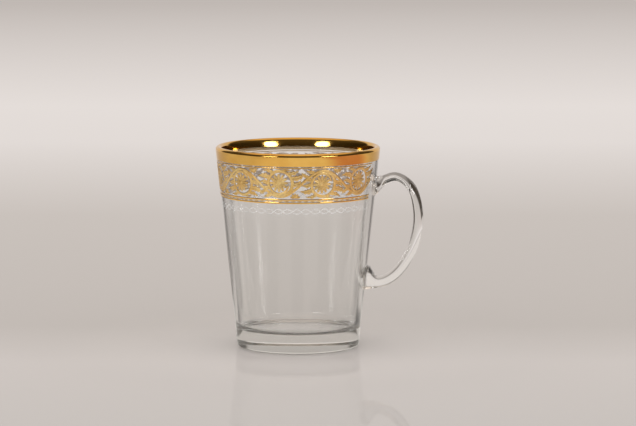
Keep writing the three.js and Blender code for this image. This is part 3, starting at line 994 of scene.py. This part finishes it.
def satin_gold():
    """Satin gold with darker edges and fine stippling. Its underside is matt and pale."""
    finish, tree = new_finish("satin_gold")
    grain = noise(tree, *SATIN_GRAIN)
    dots = grain.node("ShaderNodeTexVoronoi", {"Vector": own_place(tree), "Scale": SATIN_DOTS})
    colour = noise(tree, *SATIN_CLOUDS).ease(*SATIN_CLOUDED).blend(*SATIN_TINTS)
    edged = ridge_of(tree).ease(*SATIN_EDGED).blend(SATIN_EDGE_TINT, colour)
    stippled = dots.ease(*SATIN_DOTTED).blend(edged, SATIN_DOT_TINT)
    # Painted glints: pale flecks where the grain is high
    glinted = grain.ease(*SATIN_GLINT_SPAN).blend(stippled, SATIN_GLINT_TINT)
    face = film_face(tree)
    return coated(finish, {
        "Base Color": face.blend(SATIN_UNDERSIDE, glinted),
        "Metallic": face,
        "Roughness": UNDERSIDE_ROUGHNESS - face * SATIN_POLISH + grain.ease(*SATIN_DULLED),
        "Normal": bumped(grain, *SATIN_BUMP),
    })


FROST_GRAIN = ((4000.0, 4000.0, 4000.0), 4.0, 0.7)
FROST_BUMP = (0.4, 0.00005)
FROST_TINTED = (0.3, 0.7)
FROST_TINTS = [(0.88, 0.88, 0.87), (0.96, 0.96, 0.955)]
FROST_ROUGHNESS = 0.55
FROST_GRAIN_ROUGHNESS = 0.3
FROST_PATCHES = ((120.0, 120.0, 120.0), 2.0)
FROST_PATCHED = (0.35, 0.65, 0.14)
FROST_COVER = 0.16


def etching():
    """Frosted lines that are partly clear, fainter in some patches than in others."""
    finish, tree = new_finish("etching")
    grain = noise(tree, *FROST_GRAIN)
    return coated(finish, {
        "Base Color": grain.ease(*FROST_TINTED).blend(*FROST_TINTS),
        "Roughness": FROST_ROUGHNESS + grain * FROST_GRAIN_ROUGHNESS,
        "IOR": GLASS_IOR,
        "Alpha": FROST_COVER + noise(tree, *FROST_PATCHES).ease(*FROST_PATCHED),
        "Normal": bumped(grain, *FROST_BUMP),
    })


# Floor, in metres: across runs to the right, and depth runs back from the mug
FLOOR_RADIUS = 9.0
FLOOR_SIDES = 160
# A hair of air under the mug's base, in millimetres
FLOOR_GAP = 0.15
# Share of a faint mirror image in what the camera sees of the floor
SHEEN = 0.15
SHEEN_MIRROR = {"Color": (0.9, 0.9, 0.9, 1.0), "Roughness": 0.03}
# The plain floor's tone by depth, with painted light: lighter and darker bands for how light falls on it
FLOOR_PAINTED_TONES = [
    (-0.2, tone(200, 193, 188)), (-0.05, tone(207, 199, 194)), (0.06, tone(193, 185, 179)),
    (0.5, tone(200, 192, 186)), (0.95, tone(228, 221, 217)), (1.25, tone(231, 224, 220)),
    (2.65, tone(189, 181, 176)),
]
# Painted reflections in gold: a bright pool of light, duller at the left and in front, a brown patch at the
# right
PAINTED_POOL_TONE = tone(235, 229, 222)
PAINTED_POOL_BACK = (0.1, 0.3)
PAINTED_DULL_TONE = tone(212, 206, 200)
PAINTED_DULL_LEFT = (0.2, 0.36)
PAINTED_DARK_FRONT_TONE = tone(105, 95, 85)
PAINTED_DARK_FRONT_START = (0.42, 0.58)
WARM_REFLECTION_TONE = tone(204, 158, 147)
WARM_REFLECTION_LEFT = (0.19, 0.31)
WARM_REFLECTION_BACK = (0.0, 0.25)
# Painted dark patches showing through the glass: one behind the bowl, darker at its left, one at the right
DARK_PATCH_TONE = tone(48, 38, 24)
DARK_PATCH_FRONT = (0.1, 0.14)
DARK_PATCH_BACK = (0.26, 0.34)
DARK_PATCH_SLANT = 0.9
DARK_PATCH_SLANT_LEFT = 0.08
DARK_PATCH_LEFT = (-0.3, -0.22)
DARK_PATCH_RIGHT = (0.06, 0.1, 0.5)
DARK_PATCH_DARK_RIGHT = (-0.005, 0.025, 0.45)
DARK_PATCH_MIRRORED = 0.6
RIGHT_DARK_PATCH_LEFT = (0.12, 0.16, 0.95)
RIGHT_DARK_PATCH_FRONT = (0.08, 0.14)
# Painted light that gathers near the mug and under it
NEAR_PAINTED_LIGHT = (0.035, 0.13, 0.1)
UNDER_PAINTED_LIGHT = (0.026, 0.031, 0.45)
# What dims it, painted shade for light mirrored inside the glass: stripes, and shades at the foot and the
# handle
INSIDE_PAINTED_SHADE = 0.12
STRIPES = 9.0
STRIPE_EDGES = (-0.1, 0.7)
STRIPE_PAINTED_SHADE = (0.03, 0.09, 0.8)
FOOT_PAINTED_SHADE = (0.033, 0.05, 0.45)
SIDE_LEFT = (0.026, 0.036)
SIDE_PAINTED_SHADE = (0.09, 0.13, 0.9)


def ray_path(tree):
    """The light path, whether the glass mirrored a ray inside, and whether it went in and out once."""
    path = Wire.add(tree, "ShaderNodeLightPath")

    def once(name):
        return path.out(name).maths("MINIMUM", 1.0)

    inside = once("Glossy Depth") * once("Transmission Depth")
    # In and out makes two passes
    passes = {0: path.out("Transmission Depth"), 1: 2.0, 2: 0.1}
    return path, inside, path.node("ShaderNodeMath", passes, {"operation": "COMPARE"})


def painted_floor_by_depth(depth):
    """The plain floor's tone, with its painted light by depth."""
    start, end = FLOOR_PAINTED_TONES[0][0], FLOOR_PAINTED_TONES[-1][0]
    plain = depth.node("ShaderNodeValToRGB", {0: (depth - start) / (end - start)})
    stops = plain.socket.node.color_ramp.elements
    while len(stops) < len(FLOOR_PAINTED_TONES):
        stops.new(1.0)
    for stop, (metres, colour) in zip(stops, FLOOR_PAINTED_TONES):
        stop.position = (metres - start) / (end - start)
        stop.color = (*colour, 1.0)
    return plain


def painted_floor_in_gold(across, depth):
    """The floor's tone as gold shows it, painted with reflections of light and shade."""
    painted_pool = (0.0 - across).ease(*PAINTED_DULL_LEFT).blend(PAINTED_POOL_TONE, PAINTED_DULL_TONE)
    warm_reflection = across.ease(*WARM_REFLECTION_LEFT) * depth.fade(*WARM_REFLECTION_BACK)
    return (0.0 - depth).ease(*PAINTED_DARK_FRONT_START).blend(warm_reflection.blend(painted_pool, WARM_REFLECTION_TONE), PAINTED_DARK_FRONT_TONE)


def floor_dark_patches(across, depth, through, glossy):
    """How much of the painted dark tone a ray shows, through the glass or, less of it, in a reflection."""
    slant = depth + (across + DARK_PATCH_SLANT_LEFT).maths("MINIMUM", 0.0) * DARK_PATCH_SLANT
    dark_patch = depth.ease(*DARK_PATCH_FRONT) * slant.fade(*DARK_PATCH_BACK) * across.ease(*DARK_PATCH_LEFT)
    dark = across.fade(*DARK_PATCH_RIGHT) + across.fade(*DARK_PATCH_DARK_RIGHT)
    right_dark_patch = across.ease(*RIGHT_DARK_PATCH_LEFT) * depth.ease(*RIGHT_DARK_PATCH_FRONT)
    return (through + glossy * DARK_PATCH_MIRRORED) * dark_patch * dark + through * right_dark_patch


def painted_floor_light(across, depth, distance, inside):
    """Painted light and shade: how light the floor is by place, dimmer for a ray that the glass mirrored
    inside.
    """
    # Painted light near the mug and under it
    painted_lift = 1.0 + distance.fade(*NEAR_PAINTED_LIGHT) + distance.fade(*UNDER_PAINTED_LIGHT)
    turn = across.maths("ARCTAN2", depth)
    # Painted shade for rays mirrored inside the glass: dark stripes, and shade at the foot and the handle
    stripes = (0.0 - (turn * STRIPES).cos()).ease(*STRIPE_EDGES) * distance.ease(*STRIPE_PAINTED_SHADE)
    side = across.ease(*SIDE_LEFT) * distance.fade(*SIDE_PAINTED_SHADE)
    painted_shade = distance.fade(*FOOT_PAINTED_SHADE).maths("MAXIMUM", side)
    return painted_lift * (1.0 - inside * (INSIDE_PAINTED_SHADE + stripes)) * (1.0 - inside * painted_shade)


def studio_floor():
    """A matt floor with a faint sheen, as far as the eye goes, its colour painted with light and shade."""
    finish, tree = new_finish("studio_floor")
    place = own_place(tree)
    parts = place.node("ShaderNodeSeparateXYZ", {0: place})
    across, depth = parts.out("X"), parts.out("Y")
    distance = place.node("ShaderNodeVectorMath", {0: place}, {"operation": "LENGTH"}, "Value")
    path, inside, passed = ray_path(tree)
    glossy = path.out("Is Glossy Ray") * path.out("Is Reflection Ray")
    # Reflected rays near the mug see the painted reflections, the rest the plain floor with its painted
    # light
    shown = (glossy * depth.fade(*PAINTED_POOL_BACK)).blend(painted_floor_by_depth(depth), painted_floor_in_gold(across, depth))
    light = painted_floor_light(across, depth, distance, inside)
    lit = shown.node("ShaderNodeVectorMath", {0: shown, "Scale": light}, {"operation": "SCALE"})
    dark_patches = floor_dark_patches(across, depth, passed * (1.0 - inside), glossy)
    # Painted dark patches laid over the floor's colour
    colour = dark_patches.blend(lit, DARK_PATCH_TONE)
    matt = colour.node("ShaderNodeBsdfDiffuse", {"Color": colour})
    sheen = colour.node("ShaderNodeBsdfGlossy", SHEEN_MIRROR)
    seen = path.out("Is Camera Ray") * SHEEN
    coat = colour.node("ShaderNodeMixShader", {0: seen, 1: matt, 2: sheen})
    coat.node("ShaderNodeOutputMaterial", {"Surface": coat})
    radius = FLOOR_RADIUS / MM
    points = [(radius * cos(a), radius * sin(a), -FLOOR_GAP) for a in turns(FLOOR_SIDES)]
    floor = object_of("studio_floor", points, [tuple(range(FLOOR_SIDES))], finish)
    floor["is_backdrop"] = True
    return floor


# Room, by the way a ray leaves: spans are in its parts to the right, to the back and upwards, out of 1
FAR_TONE = tone(187, 179, 174)
BACK_TONE = tone(222, 214, 208)
ROOM_TONE = (0.085, 0.072, 0.055)
HORIZON_TONE = (0.03, 0.024, 0.018)
HORIZON_SPAN = (0.1, 0.28)
CEILING_TONE = (0.85, 0.7, 0.58)
CEILING_FOOT = (0.66, 0.82)
AMBIENT = (1.0, 1.0, 1.0)
BACK_WALL = (0.62, 0.74)
BACK_WALL_TOP = (0.5, 0.8)
BACK_WALL_DIM = 0.4
LOW_WALL_TOP = (0.2, 0.42)
LOW_WALL_RIGHT = (0.3, 0.45)
MID_WALL_FOOT = (0.19, 0.24, 0.6)
MID_WALL_TOP = (0.34, 0.42)


def studio_room():
    """A dim room with pale walls and a lit ceiling, and even light for everything matt."""
    world = bpy.data.worlds.new("studio_room")
    bpy.context.scene.world = world
    world.use_nodes = True
    world.cycles.sampling_method = "NONE"
    tree = world.node_tree
    tree.nodes.clear()
    way = Wire.add(tree, "ShaderNodeTexCoord").out("Generated")
    parts = way.node("ShaderNodeSeparateXYZ", {0: way})
    right, back, level = parts.out("X"), parts.out("Y"), parts.out("Z")
    path, inside, passed = ray_path(tree)
    through = passed * (1.0 - inside)
    straight = path.out("Is Transmission Ray") * (1.0 - inside)

    back_wall = back.ease(*BACK_WALL) * level.fade(*BACK_WALL_TOP)
    back_wall = back_wall * (1.0 - BACK_WALL_DIM * inside * passed)
    low_wall = straight * level.fade(*LOW_WALL_TOP) * (1.0 - through * right.ease(*LOW_WALL_RIGHT))
    mid_wall = inside * level.ease(*MID_WALL_FOOT) * level.fade(*MID_WALL_TOP)
    pale = back_wall.maths("MAXIMUM", low_wall).maths("MAXIMUM", mid_wall)
    dim = level.ease(*HORIZON_SPAN).blend(HORIZON_TONE, ROOM_TONE)
    room = level.ease(*CEILING_FOOT).blend(dim, CEILING_TONE)
    wall = pale.blend(room, BACK_TONE)
    seen = path.out("Is Camera Ray").blend(wall, FAR_TONE)
    matt = path.out("Diffuse Depth").maths("MINIMUM", 1.0)
    light = matt.blend(seen, AMBIENT)
    glow = light.node("ShaderNodeBackground", {"Color": light})
    glow.node("ShaderNodeOutputWorld", {"Surface": glow})


# Lamps and camera, in metres
MUG_MIDDLE = Vector((0.0098, 0.0, 0.065))
LAMP_DISTANCE = 1.5
LAMP_LEVEL = radians(10.8)
LAMP_WIDTH = 0.6
LAMP_HEIGHT = 0.16
LAMP_POWER = 2.6
# Angles round the mug from the camera
LAMP_TURNS = {"softbox_left": radians(-39), "softbox_right": radians(43)}
CAMERA_PLACE = Vector((0.0098, -1.6, 0.268))
CAMERA_LENS = 187.0
CAMERA_SENSOR = 36.0


def all_but(floor):
    """What the lamps light: all but the floor, which would mirror them as bright patches."""
    lit = bpy.data.collections.new("lit_by_lamps")
    lit.objects.link(floor)
    lit.collection_objects[0].light_linking.link_state = "EXCLUDE"
    return lit


def aimed(name, data, place):
    """A lamp or a camera at a place, turned towards the mug."""
    holder = added(name, data)
    holder.location = place
    holder.rotation_euler = (MUG_MIDDLE - place).to_track_quat("-Z", "Y").to_euler()
    return holder


def softbox(name, turn, lit):
    """A soft oval lamp on the camera's side."""
    lamp = bpy.data.lights.new(name, "AREA")
    lamp.shape = "ELLIPSE"
    lamp.size = LAMP_WIDTH
    lamp.size_y = LAMP_HEIGHT
    lamp.energy = LAMP_POWER
    flat = LAMP_DISTANCE * cos(LAMP_LEVEL)
    up = LAMP_DISTANCE * sin(LAMP_LEVEL)
    offset = Vector((flat * sin(turn), -flat * cos(turn), up))
    holder = aimed(name, lamp, MUG_MIDDLE + offset)
    holder.light_linking.receiver_collection = lit
    holder.visible_camera = False


def camera():
    lens = bpy.data.cameras.new("camera")
    lens.lens = CAMERA_LENS
    lens.sensor_width = CAMERA_SENSOR
    bpy.context.scene.camera = aimed("camera", lens, CAMERA_PLACE)


# The mug: edges sharper than these angles, in degrees, stay sharp
GLASS_SHARP = 40
LINE_SHARP = 50
RELIEF_SHARP = 60

GLASS, GOLD, SATIN, ETCHED = clear_glass(), bright_gold(), satin_gold(), etching()

settle(glass_bowl(GLASS), GLASS_SHARP, "clear_glass", "glass_bowl")
settle(handle(GLASS), GLASS_SHARP, "clear_glass", "handle")
settle(rim_gilding(GOLD), GLASS_SHARP, "bright_gold", "rim_gilding")

for line_name, line_middle, line_height, line_node in [
    ("fine_gold_line", FINE_LINE_MIDDLE, FINE_LINE, "fine_line"),
    ("upper_chain_line", UPPER_CHAIN_MIDDLE, CHAIN_LINE, "chain_line_upper"),
    ("lower_chain_line", LOWER_CHAIN_MIDDLE, CHAIN_LINE, "chain_line_lower"),
]:
    gold = gold_line(line_name, line_middle, line_height, GOLD)
    settle(gold, LINE_SHARP, "bright_gold", line_node)

row = row_round_wall()
bead_angle = FRIEZE_ANGLE / CHAIN_BEADS
first_scroll = HANDLE_CLEARANCE + SCROLL_ANGLE / 2
first_rosette = first_scroll + SCROLL_ANGLE / 2 - ROSETTE_SHIFT / FIELD_RADIUS
numbered = [f"{number:02d}" for number in range(1, SCROLLS + 1)]
in_field = {
    "Step Angle": SCROLL_ANGLE, "Middle Height": FIELD_MIDDLE, "Bend Radius": FIELD_RADIUS,
    "Turn Every Second": 1.0, "Finish": SATIN,
}

frieze = row.make("scroll_frieze", flat_scroll(), {
    **in_field, "Count": SCROLLS, "First Angle": first_scroll,
})
settle(frieze, RELIEF_SHARP, "satin_gold", *[f"scroll_{number}" for number in numbered])

rosettes = row.make("half_rosettes", flat_rosette(), {
    **in_field, "Count": SCROLLS - 1, "First Angle": first_rosette,
})
settle(rosettes, RELIEF_SHARP, "satin_gold", *[f"rosette_{number}" for number in numbered[:-1]])

beads = row.make("gold_chain_beads", flat_bead(), {
    "Count": CHAIN_BEADS, "First Angle": HANDLE_CLEARANCE + bead_angle / 2, "Step Angle": bead_angle,
    "Middle Height": BEAD_MIDDLE, "Bend Radius": outer_radius(BEAD_MIDDLE), "Turn Every Second": 0.0,
    "Finish": SATIN,
})
settle(beads, RELIEF_SHARP, "satin_gold", "chain_beads")

border = waves_round_wall().make("etched_waves", [], {
    "Eyes": ETCHED_EYES, "First Angle": HANDLE_CLEARANCE, "Eye Angle": FRIEZE_ANGLE / ETCHED_EYES,
    "Middle Height": ETCHED_MIDDLE, "Wave Height": ETCHED_HEIGHT, "Line Width": ETCHED_LINE,
    "Film": ETCHED_FILM, "Lift": FILM_LIFT, "Steps": ETCHED_STEPS, "Finish": ETCHED,
})
settle(border, RELIEF_SHARP, "etching", "etched_border")

lit_by_lamps = all_but(studio_floor())
studio_room()
for lamp_name, lamp_turn in LAMP_TURNS.items():
    softbox(lamp_name, lamp_turn, lit_by_lamps)
camera()

scene = bpy.context.scene
scene.view_settings.view_transform = "Standard"
scene.cycles.max_bounces = 48
scene.cycles.glossy_bounces = 24
scene.cycles.transmission_bounces = 32

boxes = {"cad": cad_box, "visual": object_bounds()}
{name: [list(low), list(high)] for name, (low, high) in boxes.items()}
